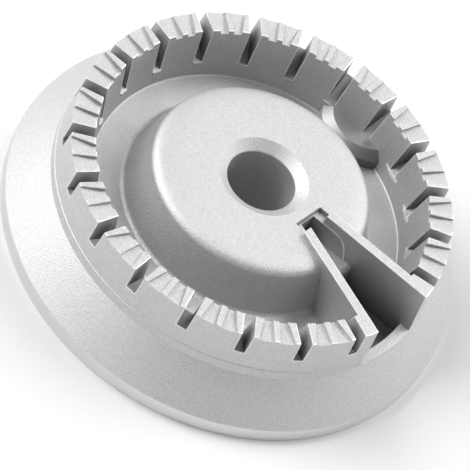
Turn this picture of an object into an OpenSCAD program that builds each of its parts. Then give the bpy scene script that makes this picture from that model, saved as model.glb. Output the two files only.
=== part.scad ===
// Gas burner head: a die-cast aluminium flame spreader with an igniter notch.
// Millimetres. +Z is up the burner's axis and the rim stands on z = 0.
// The igniter notch points along +X, the half-round boss is on the +Y side.

/* [Base] */
// Diameter over the rim of the base
base_diameter = 100; // [92:1:112]
// Height of the upright rim of the base
rim_height = 3; // [2:0.5:4]
// Height of the sloping flange, where the crown stands on it
flange_height = 12; // [11:0.5:13]
// Thickness of the flange and the dome
wall = 2; // [1.6:0.1:2.4]

/* [Crown] */
// Outer radius of the crown at its foot
crown_radius = 42.5; // [42:0.1:43]
// Height of the tooth tops
crown_height = 23.6; // [23:0.2:25]
// Thickness of the crown at the tooth tops
tooth_depth = 5.1; // [4.5:0.1:5.5]
// Number of ports round the crown, the notch counted as one
port_count = 21; // [17:2:23]
// Width of a port at the tooth tops
port_width = 2.4; // [2:0.1:2.6]
// Height of a port's floor at its outer end
port_sill = 18.1; // [17.5:0.1:19]
// Depth of the two channels across each tooth
channel_depth = 0.9; // [0.5:0.1:1.2]

/* [Trough and dome] */
// Height of the trough's floor
trough_floor = 11.2; // [10.8:0.1:11.6]
// Height of the flat top of the dome
dome_height = 22.4; // [21.8:0.1:22.6]
// Radius of the flat top of the dome
dome_flat_radius = 20.8; // [20:0.1:21.2]
// Radius of the dome's rounded shoulder
dome_shoulder = 3.5; // [3:0.1:4]

/* [Bore] */
// Radius of the central bore
bore_radius = 7.45; // [6.5:0.05:7.8]
// Radius of the countersink at the dome's top
countersink_radius = 9.9; // [9.5:0.1:10.5]
// Height of the lower end of the mixing tube
tube_bottom = 2; // [1:0.5:5]

/* [Igniter notch] */
// Thickness of the two walls along the notch
notch_wall = 2.1; // [1.8:0.1:2.3]
// Height of the shelf inside the dome
shelf_height = 16.2; // [15.5:0.1:16.8]
// Height of the sill across the mouth of the notch
sill_height = 12.3; // [12.1:0.1:12.8]

/* [Boss] */
// Radius of the half-round boss at its top
boss_radius = 8.1; // [7.5:0.1:8.5]
// Height of the top of the boss
boss_height = 15; // [14:0.1:15.5]

/* [Hidden] */
$fn = 96;

casting_colour = [0.78, 0.78, 0.77];
cut = 1;                                   // how far a cutter runs past a face
pitch = 360 / port_count;

// Flange
rim_radius = base_diameter / 2;
rim_top_radius = rim_radius - 0.2;
crown_foot_radius = crown_radius + 0.1;
rim_chamfer = 0.7;

// Crown
crown_top_radius = crown_radius - 0.7;
tooth_inner_radius = crown_top_radius - tooth_depth;
crown_draft = tan(11);
trough_radius = tooth_inner_radius - crown_draft * (crown_height - trough_floor);
trough_chamfer = 0.8;
port_inner_sill = boss_height;
port_inner_radius = 35;
port_taper = 0.2;                          // a port narrows by this on each side
lip_width = 3.6;
lip_height = 0.9;
lip_reach = 0.35;
lip_clear = 18;                            // no lips within this angle of the boss

// Channels across a tooth
channel_land = 1.2;
channel_inner_width = 1.9;
channel_outer_width = 3.5;
channel_fall = 0.45;                       // how much deeper a channel is inside

// Trough and dome
floor_thickness = 2.2;
dome_draft = 18.5;                         // slope of the dome's side from upright
shoulder_turn = 90 - dome_draft;
shoulder_radius = dome_flat_radius + dome_shoulder * sin(shoulder_turn);
shoulder_height = dome_height - dome_shoulder * (1 - cos(shoulder_turn));
dome_foot_radius = shoulder_radius + tan(dome_draft) * (shoulder_height - trough_floor);
dome_fillet = 1.2;

// Bore and mixing tube
countersink_depth = 1.6;
tube_wall = 2.1;
tube_radius = bore_radius + tube_wall;

// Igniter notch: the left wall is on the -Y side, the right wall on the +Y side
left_turn = -13.75;
right_turn = 8.35;
left_offset = 2.18;                        // of the left wall's inner face from the axis
right_offset = 1.42;                       // of the right wall's inner face from the axis
wall_start = 15;
pocket_start = 12.6;
recess_start = 11.8;
recess_depth = 1.1;
recess_slope = 0.8;
recess_overlap = 0.3;                      // how far the recess runs under the walls
sill_depth = 2.1;

// Boss
boss_centre = 38.6;
boss_chamfer_radius = boss_radius + 1.9;
boss_chamfer = 1.6;
boss_foot_radius = boss_chamfer_radius + 0.4;

// A fillet for an inside corner: the kite between the corner and the arc, less the arc's circle.
module fillet(at, toward_a, toward_b, radius) {
    a = (toward_a - at) / norm(toward_a - at);
    b = (toward_b - at) / norm(toward_b - at);
    half = acos(a * b) / 2;
    reach = radius / tan(half);
    centre = at + (a + b) / norm(a + b) * radius / sin(half);
    difference() {
        polygon([at, at + a * reach, centre, at + b * reach]);
        translate(centre) circle(radius);
    }
}

// Section of the whole casting, turned round the axis.
module casting_section() {
    rim_corner = [rim_top_radius, rim_height];
    crown_foot = [crown_foot_radius, flange_height];
    dome_foot = [dome_foot_radius, trough_floor];
    trough_corner = [trough_radius, trough_floor];
    slope = crown_foot - rim_corner;
    inward = [slope[1], -slope[0]] * -wall / norm(slope);
    inner_foot = crown_foot + inward;
    inner_rim = [rim_radius - wall, inner_foot[1] + (rim_radius - wall - inner_foot[0]) * slope[1] / slope[0]];
    floor_below = trough_floor - floor_thickness;
    flange_below = inner_foot[0] + (floor_below - inner_foot[1]) * slope[0] / slope[1];
    polygon([
        [rim_radius, 0], rim_corner - [0, rim_chamfer], rim_corner + slope * rim_chamfer / norm(slope),
        crown_foot, [crown_radius, flange_height],
        [crown_top_radius, crown_height], [tooth_inner_radius, crown_height],
        trough_corner + [crown_draft, 1] * trough_chamfer,
        trough_corner - [trough_chamfer, 0], dome_foot,
        [shoulder_radius, shoulder_height],
        [dome_flat_radius, dome_height], [0, dome_height],
        [0, tube_bottom], [tube_radius, tube_bottom],
        [tube_radius, dome_height - wall], [dome_flat_radius - 1, dome_height - wall],
        [shoulder_radius - wall, shoulder_height - 0.6],
        [dome_foot_radius - wall - 0.4, floor_below],
        [flange_below, floor_below], inner_rim, [rim_radius - wall, 0]
    ]);
    intersection() {
        translate([dome_flat_radius, dome_height - dome_shoulder]) circle(dome_shoulder);
        translate([dome_flat_radius, shoulder_height - dome_shoulder])
            square([dome_shoulder + cut, 2 * dome_shoulder]);
    }
    fillet(dome_foot, trough_corner, [shoulder_radius, shoulder_height], dome_fillet);
}

// Plan of a strip along the notch: it starts at a distance from the axis, and its
// two sides are lines given by turn and offset, moved out by spread.
module notch_strip(start, end, left_spread, right_spread) {
    left = left_offset - left_spread / cos(left_turn);
    right = right_offset + right_spread / cos(right_turn);
    polygon([
        [start, start * tan(left_turn) + left],
        [end, end * tan(left_turn) + left],
        [end, end * tan(right_turn) + right],
        [start, start * tan(right_turn) + right]
    ]);
}

// Section of a port along its length, for the sloping floor.
module port_section() {
    rise = (port_sill - port_inner_sill) / (crown_foot_radius - port_inner_radius);
    outer = crown_radius + 2;
    polygon([
        [port_inner_radius - 3, port_inner_sill],
        [port_inner_radius, port_inner_sill],
        [outer, port_inner_sill + rise * (outer - port_inner_radius)],
        [outer, crown_height + cut],
        [port_inner_radius - 3, crown_height + cut]
    ]);
}

// A port: its flanks lean a little and its floor rises outward.
module port() {
    top = crown_height + cut;
    intersection() {
        rotate([90, 0, 0]) linear_extrude(port_width * 2, center = true) port_section();
        rotate([90, 0, 90]) linear_extrude(crown_radius + 3) polygon([
            [-port_width / 2 + port_taper, port_inner_sill - cut],
            [port_width / 2 - port_taper, port_inner_sill - cut],
            [port_width / 2, top], [-port_width / 2, top]
        ]);
    }
}

// The small lip under the inner end of a port.
module port_lip() {
    face = trough_radius + crown_draft * (port_inner_sill - trough_floor);
    rotate([90, 0, 0]) linear_extrude(lip_width, center = true) polygon([
        [face + 1, port_inner_sill], [face - lip_reach, port_inner_sill],
        [face - lip_reach, port_inner_sill - 0.3],
        [face - crown_draft * lip_height, port_inner_sill - lip_height],
        [face + 1, port_inner_sill - lip_height]
    ]);
}

module port_lips() {
    for (k = [1 : port_count - 1])
        if (abs(k * pitch - 90) > lip_clear) rotate(k * pitch) port_lip();
}

// One channel across a tooth top, on the tooth's +Y side.
module tooth_channel() {
    slant = (channel_outer_width - channel_inner_width) / tooth_depth;
    start = tooth_inner_radius - 1;
    end = crown_top_radius + 1;
    near = channel_land / 2;
    fall = channel_fall / tooth_depth;
    intersection() {
        linear_extrude(crown_height + cut) polygon([
            [start, near], [end, near],
            [end, near + channel_outer_width + slant],
            [start, near + channel_inner_width - slant]
        ]);
        rotate([90, 0, 0]) linear_extrude(20, center = true) polygon([
            [start, crown_height - channel_depth - fall],
            [end, crown_height - channel_depth + channel_fall + fall],
            [end, crown_height + cut], [start, crown_height + cut]
        ]);
    }
}

// The two channels of every full tooth. The two half teeth by the notch have none.
module tooth_channels() {
    for (k = [1 : port_count - 2])
        rotate((k + 0.5) * pitch) {
            tooth_channel();
            mirror([0, 1, 0]) tooth_channel();
        }
}

// The boss in the trough: half a disc with a wide chamfer and a steep side.
module boss() {
    translate([0, boss_centre, 0]) rotate(180) rotate_extrude(angle = 180) polygon([
        [0, trough_floor - cut], [boss_foot_radius, trough_floor - cut],
        [boss_foot_radius, trough_floor], [boss_chamfer_radius, boss_height - boss_chamfer],
        [boss_radius, boss_height], [0, boss_height]
    ]);
}

// The shallow recess in the dome's top, in front of the notch's two walls.
module notch_recess() {
    recess_floor = dome_height - recess_depth;
    end = wall_start + recess_overlap;
    intersection() {
        linear_extrude(dome_height + cut)
            notch_strip(recess_start - cut, end, notch_wall - recess_overlap, notch_wall - recess_overlap);
        rotate([90, 0, 0]) linear_extrude(60, center = true) polygon([
            [recess_start, dome_height], [recess_start + recess_slope, recess_floor],
            [end, recess_floor], [end, dome_height + cut], [recess_start, dome_height + cut]
        ]);
    }
}

// The block that the notch's two walls and the shelf are left from: it hangs inside the
// dome from the tube outward, and reaches down to the underside of the trough's floor.
module notch_block() {
    shelf_below = shelf_height - wall;
    start = tube_radius - cut;
    step = dome_foot_radius - wall;
    intersection() {
        linear_extrude(crown_height + cut) notch_strip(start, crown_radius, notch_wall, notch_wall);
        rotate([90, 0, 0]) linear_extrude(60, center = true) polygon([
            [start, shelf_below], [step, shelf_below], [step, trough_floor - floor_thickness],
            [crown_radius, trough_floor - floor_thickness], [crown_radius, crown_height],
            [wall_start, crown_height], [wall_start, dome_height - wall / 2],
            [start, dome_height - wall / 2]
        ]);
        cylinder(h = crown_height + cut, r = tooth_inner_radius + 1.5);
    }
}

// The notch itself: the pocket down to the shelf, the opening through the trough,
// and the mouth through the crown above the sill.
module notch_cuts() {
    far = rim_radius + cut;
    translate([0, 0, shelf_height])
        linear_extrude(crown_height) notch_strip(pocket_start, tooth_inner_radius, 0, 0);
    intersection() {
        translate([0, 0, -cut]) linear_extrude(crown_height + 3 * cut)
            notch_strip(dome_foot_radius - 1, far, 0, 0);
        translate([0, 0, -cut]) cylinder(h = crown_height + 3 * cut, r = crown_radius - sill_depth);
    }
    translate([0, 0, sill_height])
        linear_extrude(crown_height) notch_strip(tooth_inner_radius, far, 0, 0);
}

module burner_head() {
    color(casting_colour) difference() {
        union() {
            difference() {
                rotate_extrude() casting_section();
                notch_recess();
            }
            boss();
            port_lips();
            notch_block();
        }
        notch_cuts();
        for (k = [1 : port_count - 1]) rotate(k * pitch) port();
        tooth_channels();
        translate([0, 0, -cut]) cylinder(h = dome_height + 2 * cut, r = bore_radius);
        translate([0, 0, dome_height - countersink_depth])
            cylinder(h = countersink_depth, r1 = bore_radius, r2 = countersink_radius);
    }
}

burner_head();
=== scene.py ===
# Gas burner head, dressed for rendering. Metres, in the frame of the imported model:
# +Z up the burner's axis, the igniter notch along +X, the boss towards +Y.
import math

import bmesh
import bpy
from mathutils import Matrix, Vector


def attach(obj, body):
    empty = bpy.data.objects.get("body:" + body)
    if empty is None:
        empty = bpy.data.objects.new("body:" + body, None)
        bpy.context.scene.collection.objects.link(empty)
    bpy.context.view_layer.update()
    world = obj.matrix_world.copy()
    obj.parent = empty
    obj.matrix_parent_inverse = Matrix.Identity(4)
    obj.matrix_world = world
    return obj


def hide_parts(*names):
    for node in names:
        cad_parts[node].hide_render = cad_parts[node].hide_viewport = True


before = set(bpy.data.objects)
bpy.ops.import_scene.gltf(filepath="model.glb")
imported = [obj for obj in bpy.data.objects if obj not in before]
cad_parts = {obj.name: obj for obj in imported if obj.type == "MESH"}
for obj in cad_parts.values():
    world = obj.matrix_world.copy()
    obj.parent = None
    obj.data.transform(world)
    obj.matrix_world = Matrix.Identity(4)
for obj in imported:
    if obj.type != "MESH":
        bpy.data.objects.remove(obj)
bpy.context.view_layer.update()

# The camera of the photograph: a long lens that looks down from the front right of
# the notch, rolled so that the burner's axis leans to the upper right.
camera_turn = math.radians(19.42)
camera_tilt = math.radians(40.87)
camera_roll = math.radians(31.16)
camera_distance = 0.67587
camera_data = bpy.data.cameras.new("camera")
camera_data.sensor_width = 36.0
camera_data.lens = 245.0
camera_data.clip_start = 0.05
camera_data.clip_end = 10.0
camera = bpy.data.objects.new("camera", camera_data)
bpy.context.scene.collection.objects.link(camera)
camera_turning = (
    Matrix.Rotation(camera_turn, 4, "Z")
    @ Matrix.Rotation(camera_tilt, 4, "X")
    @ Matrix.Rotation(camera_roll, 4, "Z")
)
camera.matrix_world = camera_turning @ Matrix.Translation((0.0016, 0.000415, camera_distance))
bpy.context.scene.camera = camera

# The casting is one piece of aluminium, poured in a die. Its round part is a section
# turned about the axis, with every corner of the section already rounded. It is modelled
# in millimetres, at which booleans keep its small features, and made metres at the end.
ports = 21
pitch = 2 * math.pi / ports
steps_per_port = 8
crown_height = 23.6
crown_draft = math.tan(math.radians(11))
tooth_inner_radius = 36.7
trough_radius = 34.3
trough_floor = 11.2
dome_height = 22.4
bore_radius = 7.45


def deselect_all():
    if bpy.context.object and bpy.context.object.mode != "OBJECT":
        bpy.ops.object.mode_set(mode="OBJECT")
    bpy.ops.object.select_all(action="DESELECT")


def rounded(corners):
    """Points of a closed outline: each corner is (x, z, radius), and is rounded by an arc."""
    points = []
    for i, (x, z, radius) in enumerate(corners):
        corner = Vector((x, z))
        if radius == 0:
            points.append(corner)
            continue
        before = (Vector(corners[i - 1][:2]) - corner).normalized()
        after = (Vector(corners[(i + 1) % len(corners)][:2]) - corner).normalized()
        half = before.angle(after) / 2
        centre = corner + (before + after).normalized() * radius / math.sin(half)
        first = corner + before * radius / math.tan(half) - centre
        last = corner + after * radius / math.tan(half) - centre
        sweep = first.angle_signed(last)
        arc_steps = max(2, math.ceil(abs(sweep) / math.radians(24)))
        for k in range(arc_steps + 1):
            arm = first.copy()
            arm.rotate(Matrix.Rotation(-sweep * k / arc_steps, 2))
            points.append(centre + arm)
    return points


def ring_of_points(name, places):
    """A closed loop of edges through the given places."""
    deselect_all()
    bpy.ops.mesh.primitive_circle_add(vertices=len(places), radius=1.0, fill_type="NOTHING")
    piece = bpy.context.object
    piece.name = name
    for vertex, place in zip(piece.data.vertices, places):
        vertex.co = place
    return piece


def turned(name, outline, steps, start=0.0, centre=(0.0, 0.0)):
    """A closed outline of (radius, height) points, turned about an upright axis."""
    places = [
        (centre[0] + r * math.cos(start), centre[1] + r * math.sin(start), z) for r, z in outline
    ]
    piece = ring_of_points(name, places)
    bpy.ops.object.mode_set(mode="EDIT")
    bpy.ops.mesh.select_all(action="SELECT")
    bpy.ops.mesh.spin(steps=steps, angle=2 * math.pi, center=(*centre, 0), axis=(0, 0, 1))
    bpy.ops.mesh.select_all(action="SELECT")
    bpy.ops.mesh.remove_doubles(threshold=1e-4)
    bpy.ops.mesh.normals_make_consistent(inside=False)
    bpy.ops.object.mode_set(mode="OBJECT")
    return piece


def block(name, outline, low, high, plane="XY", slices=1):
    """A closed outline in a plane, drawn out from low to high along the third axis."""
    def place(a, b, c):
        return (a, b, c) if plane == "XY" else (a, c, b)

    piece = ring_of_points(name, [place(a, b, low) for a, b in outline])
    bpy.ops.object.mode_set(mode="EDIT")
    bpy.ops.mesh.select_all(action="SELECT")
    bpy.ops.mesh.edge_face_add()
    reach = place(0, 0, (high - low) / slices)
    for _ in range(slices):
        bpy.ops.mesh.extrude_region_move(TRANSFORM_OT_translate={"value": reach})
    bpy.ops.mesh.select_all(action="SELECT")
    bpy.ops.mesh.normals_make_consistent(inside=False)
    bpy.ops.object.mode_set(mode="OBJECT")
    return piece


def joined(pieces):
    deselect_all()
    for piece in pieces:
        piece.select_set(True)
    bpy.context.view_layer.objects.active = pieces[0]
    bpy.ops.object.join()
    return pieces[0]


def copied_round(piece, turns):
    """Copies of a piece turned about the axis, joined as one object in place of the first."""
    copies = []
    for turn in turns:
        copy = piece.copy()
        copy.data = piece.data.copy()
        bpy.context.scene.collection.objects.link(copy)
        copy.data.transform(Matrix.Rotation(turn, 4, "Z"))
        copies.append(copy)
    bpy.data.objects.remove(piece)
    return joined(copies)


def combined(piece, other, operation):
    """Adds the other piece to a piece, or takes it away, and removes the other."""
    deselect_all()
    bpy.context.view_layer.objects.active = piece
    modifier = piece.modifiers.new("combine", "BOOLEAN")
    modifier.operation = operation
    modifier.solver = "EXACT"
    modifier.material_mode = "TRANSFER"
    modifier.object = other
    bpy.ops.object.modifier_apply(modifier=modifier.name)
    bpy.data.objects.remove(other)


# The section: the rim, the sloping flange, the crown with the die's fine parting line, the
# trough, the domed middle with its countersunk bore, and the hollow underside, in that order.
section = rounded([
    (50.0, 0.0, 0.25), (49.85, 3.3, 0.7), (42.7, 12.0, 0.3), (42.54, 14.1, 0.0),
    (42.64, 14.25, 0.0), (42.5, 14.4, 0.0),
    (41.8, crown_height, 0.0), (tooth_inner_radius, crown_height, 0.0),
    (trough_radius, trough_floor, 0.4), (27.05, trough_floor, 1.2), (23.94, 20.6, 0.0),
    (23.55, 21.28, 0.0), (22.91, 21.73, 0.0), (22.0, 22.03, 0.0), (20.85, 22.22, 0.0),
    (19.5, 22.33, 0.0), (18.0, 22.38, 0.0), (16.5, dome_height, 0.0),
    (9.95, dome_height, 0.3), (bore_radius, 20.8, 0.5), (bore_radius, 2.0, 0.2),
    (9.55, 2.0, 0.3), (9.55, 20.4, 1.0), (19.8, 20.4, 2.0),
    (22.2, 19.4, 0.0), (24.7, 9.0, 1.0), (42.46, 9.0, 1.0), (48.0, 2.15, 0.8), (48.0, 0.0, 0.25),
])
casting = turned(
    "casting", [tuple(point) for point in section], ports * steps_per_port,
    start=pitch / steps_per_port / 2,
)
blasted_skin = bpy.data.materials.new("shot_blasted_aluminium")
cast_skin_painted_light = bpy.data.materials.new("as_cast_aluminium_painted_light")
edge_wear_and_highlight = bpy.data.materials.new("aluminium_edges_wear_and_painted_highlight")
rim_skin_painted_light = bpy.data.materials.new("smooth_aluminium_rim_painted_light")
for skin_and_painted_light in (blasted_skin, cast_skin_painted_light, edge_wear_and_highlight, rim_skin_painted_light):
    casting.data.materials.append(skin_and_painted_light)

# The half-round boss in the trough, which the die's ejector leaves: a flat top, a wide
# chamfer and a steep side. It runs into the crown, and has the cast skin with painted shade.
boss_centre = 38.6
boss_outline = rounded([
    (0.0, 10.2, 0.0), (10.45, 10.2, 0.0), (10.1, 13.35, 0.25), (8.1, 15.0, 0.25), (0.0, 15.0, 0.0),
])
boss = turned("boss", [tuple(point) for point in boss_outline], 96, centre=(0.0, boss_centre))
bpy.ops.object.mode_set(mode="EDIT")
bpy.ops.mesh.select_all(action="SELECT")
bpy.ops.mesh.bisect(plane_co=(0, boss_centre, 0), plane_no=(0, 1, 0), use_fill=True, clear_outer=True)
bpy.ops.object.mode_set(mode="OBJECT")
boss.data.materials.append(cast_skin_painted_light)
combined(casting, boss, "UNION")

# The small lips under the inner ends of the ports. Three of them, near the boss, run on
# past the port's flanks and taper off there. The boss takes the place of one.
port_inner_sill = 15.0
lip_face = trough_radius + crown_draft * (port_inner_sill - trough_floor)
lips = []
for k in range(1, ports):
    half = {2: 1.7, 3: 2.3, 4: 2.6, 6: 1.7}.get(k, 1.0)
    tip = lip_face - 0.4
    end = lip_face - 0.15 if half > 1 else tip
    lip = block("lip", [
        (lip_face + 1, -half), (end, -half), (tip, -half / 2), (tip, half / 2), (end, half),
        (lip_face + 1, half),
    ], 14.5, port_inner_sill)
    lip.data.transform(Matrix.Rotation(k * pitch, 4, "Z"))
    # The longer lips take the edges' material, with its painted highlight.
    lip.data.materials.append(edge_wear_and_highlight if half > 1 else blasted_skin)
    if k == 5:
        bpy.data.objects.remove(lip)
    else:
        lips.append(lip)
combined(casting, joined(lips), "UNION")

# The igniter notch. Its two walls are thin plates at different angles, left from one
# block, and they start behind a shallow recess in the top of the dome.
left_side = (math.tan(math.radians(-13.75)), 2.18)
right_side = (math.tan(math.radians(8.35)), 1.42)
notch_wall = 2.15
recess_floor = 21.3
shelf_height = 16.4
shelf_reach = 25.2
sill_height = 12.3
sill_radius = 40.4
wall_start = 15.0


def moved_out(side, distance):
    return (side[0], side[1] + distance)


def between(name, outline, first, second, slices=1):
    """A block with an (x, z) outline, drawn out from one line along the notch to the other."""
    piece = block(name, outline, 0.0, 1.0, plane="XZ", slices=slices)
    for vertex in piece.data.vertices:
        slope = first[0] + (second[0] - first[0]) * vertex.co.y
        offset = first[1] + (second[1] - first[1]) * vertex.co.y
        if abs(vertex.co.x - sill_radius) < 0.001:
            reach = math.sqrt(sill_radius ** 2 * (1 + slope ** 2) - offset ** 2)
            vertex.co.x = (reach - slope * offset) / (1 + slope ** 2)
        vertex.co.y = slope * vertex.co.x + offset
    return piece


recess_half = notch_wall - 0.3
combined(casting, between("recess", [
    (11.8, crown_height), (12.6, recess_floor), (wall_start + 0.3, recess_floor),
    (wall_start + 0.3, crown_height),
], moved_out(left_side, -recess_half), moved_out(right_side, recess_half)), "DIFFERENCE")
combined(casting, between("walls", [
    (8.6, 14.2), (23.9, 14.2), (23.9, 9.6), (39.0, 9.6), (39.0, crown_height),
    (wall_start, crown_height), (wall_start, 20.9), (8.6, 20.9),
], moved_out(left_side, -notch_wall), moved_out(right_side, notch_wall)), "UNION")
notch_outline = rounded([
    (12.7, 26.0, 0.0), (12.7, shelf_height, 0.0), (shelf_reach, shelf_height, 1.3),
    (shelf_reach, -1.0, 0.0), (sill_radius, -1.0, 0.0), (sill_radius, sill_height, 0.0),
    (52.0, sill_height, 0.0), (52.0, 26.0, 0.0),
])
notch_space = between(
    "notch_space", [tuple(point) for point in notch_outline], left_side, right_side, slices=8,
)
# The notch's faces take the cast skin with its painted shade.
notch_space.data.materials.append(cast_skin_painted_light)
combined(casting, notch_space, "DIFFERENCE")

# What faces up in the notch is blasted like the rest.
for face in casting.data.polygons:
    if face.normal.z > 0.7 and abs(face.center.y) < 12:
        face.material_index = 0

# On the right the dome's cut stands a little proud of the wall, as a thin ledge that
# follows the dome's own outline.
ledge = between("ledge", [
    (12.5, 16.0), (12.5, recess_floor), (18.5, recess_floor), (19.6, 21.1), (20.6, 20.6),
    (21.3, 19.9), (21.8, 19.0), (22.3, 17.8), (22.9, 16.0),
], moved_out(right_side, -0.25), moved_out(right_side, 0.5))
combined(casting, ledge, "UNION")

# The flame ports: slots whose flanks lean a little and whose floors rise outward.
port = block("port", [
    (32.0, port_inner_sill), (35.1, port_inner_sill), (45.0, 19.42), (45.0, 25.0), (32.0, 25.0),
], -1.0, 1.0, plane="XZ")
for vertex in port.data.vertices:
    rise = (vertex.co.z - port_inner_sill) / (crown_height - port_inner_sill)
    vertex.co.y = math.copysign(1.0 + 0.2 * rise, vertex.co.y)
combined(casting, copied_round(port, [k * pitch for k in range(1, ports)]), "DIFFERENCE")

# The outer edges that the cuts leave are broken, as tumbling and blasting leave them. Inner
# corners, the lips, the recess, the crown's foot and the hidden underside stay as they are.
def in_edit_mode():
    deselect_all()
    casting.select_set(True)
    bpy.context.view_layer.objects.active = casting
    bpy.ops.object.mode_set(mode="EDIT")
    bpy.ops.mesh.select_all(action="SELECT")


in_edit_mode()
bpy.ops.mesh.remove_doubles(threshold=0.01)
bpy.ops.mesh.dissolve_limited(angle_limit=math.radians(0.5))
bpy.ops.mesh.select_mode(type="EDGE")
bpy.ops.mesh.select_all(action="DESELECT")
bpy.ops.mesh.edges_select_sharp(sharpness=math.radians(33))
bpy.ops.object.mode_set(mode="OBJECT")
shape = bmesh.new()
shape.from_mesh(casting.data)
convex = [edge.is_convex for edge in shape.edges]
shape.free()
edge_break = casting.data.attributes.new("bevel_weight_edge", "FLOAT", "EDGE")
for edge in casting.data.edges:
    first, second = (casting.data.vertices[i].co for i in edge.vertices)
    middle = (first + second) / 2
    radius = middle.xy.length
    kept = (
        not convex[edge.index]
        or middle.z < 10.5
        or (34.0 < radius < 35.9 and 13.0 < middle.z < 15.6)
        or (radius < 11.5 and middle.z < 21.0)
        or (radius > 42.0 and middle.z < 14.6)
        or (11.6 < middle.x < 16.5 and abs(middle.y - 1.5) < 5 and middle.z > 16.0)
    )
    edge_break.data[edge.index].value = 1.0 if edge.select and not kept else 0.0
bevel = casting.modifiers.new("edges", "BEVEL")
bevel.width = 0.2
bevel.segments = 2
bevel.limit_method = "WEIGHT"
bevel.use_clamp_overlap = False
# The broken edges take the edges' material: wear and a painted highlight.
bevel.material = 2
bpy.ops.object.modifier_apply(modifier=bevel.name)

# The sloping floors of the ports take the cast skin with its painted shade, and the rim's upright face is
# smooth and painted paler.
for face in casting.data.polygons:
    radius = face.center.xy.length
    if face.normal.z > 0.8 and 36 < radius < 42 and 15.2 < face.center.z < 19:
        face.material_index = 1
    if radius > 49.4 and face.normal.z < 0.5:
        face.material_index = 3

# Two shallow channels across the top of each full tooth, deeper at their inner ends.
channel = block("channel", [(35.0, 0.6), (43.5, 0.6), (43.5, 4.63), (35.0, 1.97)], 22.0, 25.0)
for vertex in channel.data.vertices:
    if vertex.co.z < 23:
        vertex.co.z = crown_height - 0.85 + (vertex.co.x - tooth_inner_radius) * 0.08
other_channel = channel.copy()
other_channel.data = channel.data.copy()
bpy.context.scene.collection.objects.link(other_channel)
other_channel.data.transform(Matrix.Scale(-1, 4, (0, 1, 0)))
other_channel.data.flip_normals()
channels = joined([channel, other_channel])
combined(casting, copied_round(channels, [(k + 0.5) * pitch for k in range(1, ports - 1)]), "DIFFERENCE")

in_edit_mode()
bpy.ops.mesh.remove_doubles(threshold=0.003)
bpy.ops.object.mode_set(mode="OBJECT")
bpy.ops.object.shade_smooth_by_angle(angle=math.radians(35))
normals = casting.modifiers.new("normals", "WEIGHTED_NORMAL")
normals.keep_sharp = True
bpy.ops.object.modifier_apply(modifier=normals.name)
casting.data.transform(Matrix.Scale(0.001, 4))
casting.name = "cast_burner_head"


def linear(colour):
    """An sRGB hex colour as a linear colour."""
    parts = [int(colour[i:i + 2], 16) / 255 for i in (1, 3, 5)]
    return [c / 12.92 if c <= 0.04045 else ((c + 0.055) / 1.055) ** 2.4 for c in parts] + [1.0]


def add_node(tree, kind, settings=None, links=None):
    """Adds a node: settings go to its properties or inputs, links give its inputs a source."""
    node = tree.nodes.new(kind)
    for key, value in (settings or {}).items():
        if isinstance(key, str) and hasattr(node, key):
            setattr(node, key, value)
        else:
            node.inputs[key].default_value = value
    for key, source in (links or {}).items():
        tree.links.new(source, node.inputs[key])
    return node


# Die-cast aluminium, shot-blasted: a dull pale grey metal with a fine even grain. The pits
# are about 0.15 mm wide, and are drawn 0.3 mm wide, or they wouldn't show. Painted shade darkens
# the gaps between the teeth and other hollows, the less open the darker, and the steep walls of the trough.
blasted_skin.use_nodes = True
tree = blasted_skin.node_tree
shader = tree.nodes["Principled BSDF"]
shader.inputs["Metallic"].default_value = 1.0
shader.inputs["Roughness"].default_value = 0.6
place = add_node(tree, "ShaderNodeTexCoord")
grain = add_node(
    tree, "ShaderNodeTexNoise", {"Scale": 3200.0, "Detail": 2.0, "Roughness": 0.6},
    {"Vector": place.outputs["Object"]},
)
bump = add_node(
    tree, "ShaderNodeBump", {"Strength": 1.0, "Distance": 0.00013}, {"Height": grain.outputs["Fac"]}
)
tree.links.new(bump.outputs["Normal"], shader.inputs["Normal"])
# Painted shade: the less open a spot is, the darker its colour, from #c9c9c9 down to #525252.
open_sky = add_node(
    tree, "ShaderNodeAmbientOcclusion", {"samples": 12, "only_local": True, "Distance": 0.006}
)
unshaded_share = add_node(
    tree, "ShaderNodeMapRange", {"From Min": 0.05, "From Max": 0.5, "To Min": 0.0, "To Max": 1.0},
    {"Value": open_sky.outputs["AO"]},
)
skin_and_painted_light = add_node(
    tree, "ShaderNodeMix", {"data_type": "RGBA", "A": linear("#525252"), "B": linear("#c9c9c9")},
    {"Factor": unshaded_share.outputs["Result"]},
)
pits = add_node(
    tree, "ShaderNodeMapRange", {"From Min": 0.3, "From Max": 0.7, "To Min": 0.88, "To Max": 1.12},
    {"Value": grain.outputs["Fac"]},
)
# Painted shade on the steep walls inside the trough, up to 0.23 darker.
facing = add_node(
    tree, "ShaderNodeSeparateXYZ", {}, {0: add_node(tree, "ShaderNodeNewGeometry").outputs["Normal"]}
)
steep = add_node(
    tree, "ShaderNodeMapRange", {"From Min": 0.15, "From Max": 0.5, "To Min": 0.23, "To Max": 0.0},
    {"Value": facing.outputs["Z"]},
)
across = add_node(
    tree, "ShaderNodeVectorMath", {"operation": "MULTIPLY", 1: (1, 1, 0)}, {0: place.outputs["Object"]}
)
reach = add_node(tree, "ShaderNodeVectorMath", {"operation": "LENGTH"}, {0: across.outputs["Vector"]})
in_trough = add_node(
    tree, "ShaderNodeMath", {"operation": "COMPARE", 1: 0.0235, 2: 0.0132}, {0: reach.outputs["Value"]}
)
painted_wall_shade = add_node(
    tree, "ShaderNodeMath", {"operation": "MULTIPLY"},
    {0: steep.outputs["Result"], 1: in_trough.outputs["Value"]},
)
level = add_node(
    tree, "ShaderNodeMath", {"operation": "SUBTRACT"},
    {0: pits.outputs["Result"], 1: painted_wall_shade.outputs["Value"]},
)
speckled_and_shaded = add_node(
    tree, "ShaderNodeVectorMath", {"operation": "SCALE"},
    {0: skin_and_painted_light.outputs["Result"], "Scale": level.outputs["Value"]},
)
tree.links.new(speckled_and_shaded.outputs["Vector"], shader.inputs["Base Color"])
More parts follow.
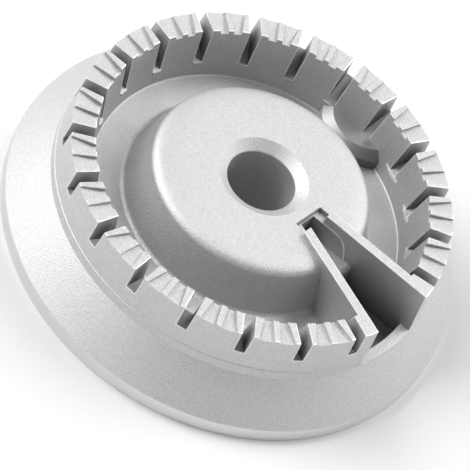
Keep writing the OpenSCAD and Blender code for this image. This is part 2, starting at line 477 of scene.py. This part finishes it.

# The notch, the boss and the ports' sloping floors have a smooth cast skin. Its colour is painted
# shade, darker the lower it lies, and painted light on the boss's side away from the notch.
cast_skin_painted_light.use_nodes = True
shader = cast_skin_painted_light.node_tree.nodes["Principled BSDF"]
shader.inputs["Metallic"].default_value = 1.0
shader.inputs["Roughness"].default_value = 0.6
tree = cast_skin_painted_light.node_tree
spot = add_node(
    tree, "ShaderNodeSeparateXYZ", {}, {0: add_node(tree, "ShaderNodeTexCoord").outputs["Object"]}
)
depth = add_node(
    tree, "ShaderNodeMapRange", {"From Min": 0.009, "From Max": 0.021, "To Min": 0.0, "To Max": 1.0},
    {"Value": spot.outputs["Z"]},
)
painted_lit_side = add_node(
    tree, "ShaderNodeMapRange", {"From Min": 0.004, "From Max": -0.006, "To Min": 0.0, "To Max": 0.8},
    {"Value": spot.outputs["X"]},
)
pale = add_node(
    tree, "ShaderNodeMath", {"operation": "MAXIMUM"}, {0: depth.outputs["Result"], 1: painted_lit_side.outputs["Result"]}
)
painted_shade_colour = add_node(
    tree, "ShaderNodeMix", {"data_type": "RGBA", "A": linear("#6f6f6f"), "B": linear("#bfbfbf")},
    {"Factor": pale.outputs["Value"]},
)
tree.links.new(painted_shade_colour.outputs["Result"], shader.inputs["Base Color"])

# The same metal along the broken edges and on the longer lips, smoother, and brighter in patches
# about 1 mm long: partly wear from tumbling and handling, partly a painted highlight.
edge_wear_and_highlight.use_nodes = True
shader = edge_wear_and_highlight.node_tree.nodes["Principled BSDF"]
shader.inputs["Metallic"].default_value = 1.0
shader.inputs["Roughness"].default_value = 0.5
tree = edge_wear_and_highlight.node_tree
place = add_node(tree, "ShaderNodeTexCoord")
edge_patches = add_node(
    tree, "ShaderNodeTexNoise", {"Scale": 900.0, "Detail": 2.0}, {"Vector": place.outputs["Object"]}
)
wear_and_highlight_colour = add_node(
    tree, "ShaderNodeMix", {"data_type": "RGBA", "A": linear("#c9c9c9"), "B": linear("#ffffff")},
    {"Factor": edge_patches.outputs["Fac"]},
)
tree.links.new(wear_and_highlight_colour.outputs["Result"], shader.inputs["Base Color"])

# The rim's upright face is smoother than the blasted flange above it; its paler colour is painted light.
rim_skin_painted_light.use_nodes = True
shader = rim_skin_painted_light.node_tree.nodes["Principled BSDF"]
shader.inputs["Metallic"].default_value = 1.0
shader.inputs["Roughness"].default_value = 0.5
shader.inputs["Base Color"].default_value = linear("#dbdbdb")
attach(casting, "root")
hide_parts("burner_head")

# The pale floor that the burner head stands on.
deselect_all()
bpy.ops.mesh.primitive_plane_add(size=6.0, location=(0, 0, 0))
floor = bpy.context.object
floor.name = "floor"
paper = bpy.data.materials.new("white_paper")
paper.use_nodes = True
shader = paper.node_tree.nodes["Principled BSDF"]
shader.inputs["Roughness"].default_value = 0.9
shader.inputs["Base Color"].default_value = linear("#e1e1e1")
floor.data.materials.append(paper)

# Soft studio light: a white sweep all round that ends in a dark ceiling, a large soft
# lamp at the left of the photograph and a smaller one behind the object on the right.
world = bpy.data.worlds.new("studio")
bpy.context.scene.world = world
world.use_nodes = True
tree = world.node_tree
view_up = add_node(
    tree, "ShaderNodeSeparateXYZ", {}, {0: add_node(tree, "ShaderNodeTexCoord").outputs["Generated"]}
)
sweep = add_node(
    tree, "ShaderNodeMapRange", {"From Min": 0.0, "From Max": 0.694, "To Min": 1.54, "To Max": 0.0},
    {"Value": view_up.outputs["Z"]},
)
tree.links.new(sweep.outputs["Result"], tree.nodes["Background"].inputs["Strength"])
tree.nodes["Background"].inputs["Color"].default_value = (1, 1, 1, 1)
for name, azimuth, elevation, spread, strength in (
    ("left_lamp", 202, 43, 45, 3.2), ("back_lamp", 70, 47, 45, 2.1),
):
    lamp_data = bpy.data.lights.new(name, "SUN")
    lamp_data.angle = math.radians(spread)
    lamp_data.energy = strength
    lamp = bpy.data.objects.new(name, lamp_data)
    bpy.context.scene.collection.objects.link(lamp)
    lamp.rotation_euler = (0, math.radians(90 - elevation), math.radians(azimuth))

bpy.context.scene.view_settings.view_transform = "Standard"
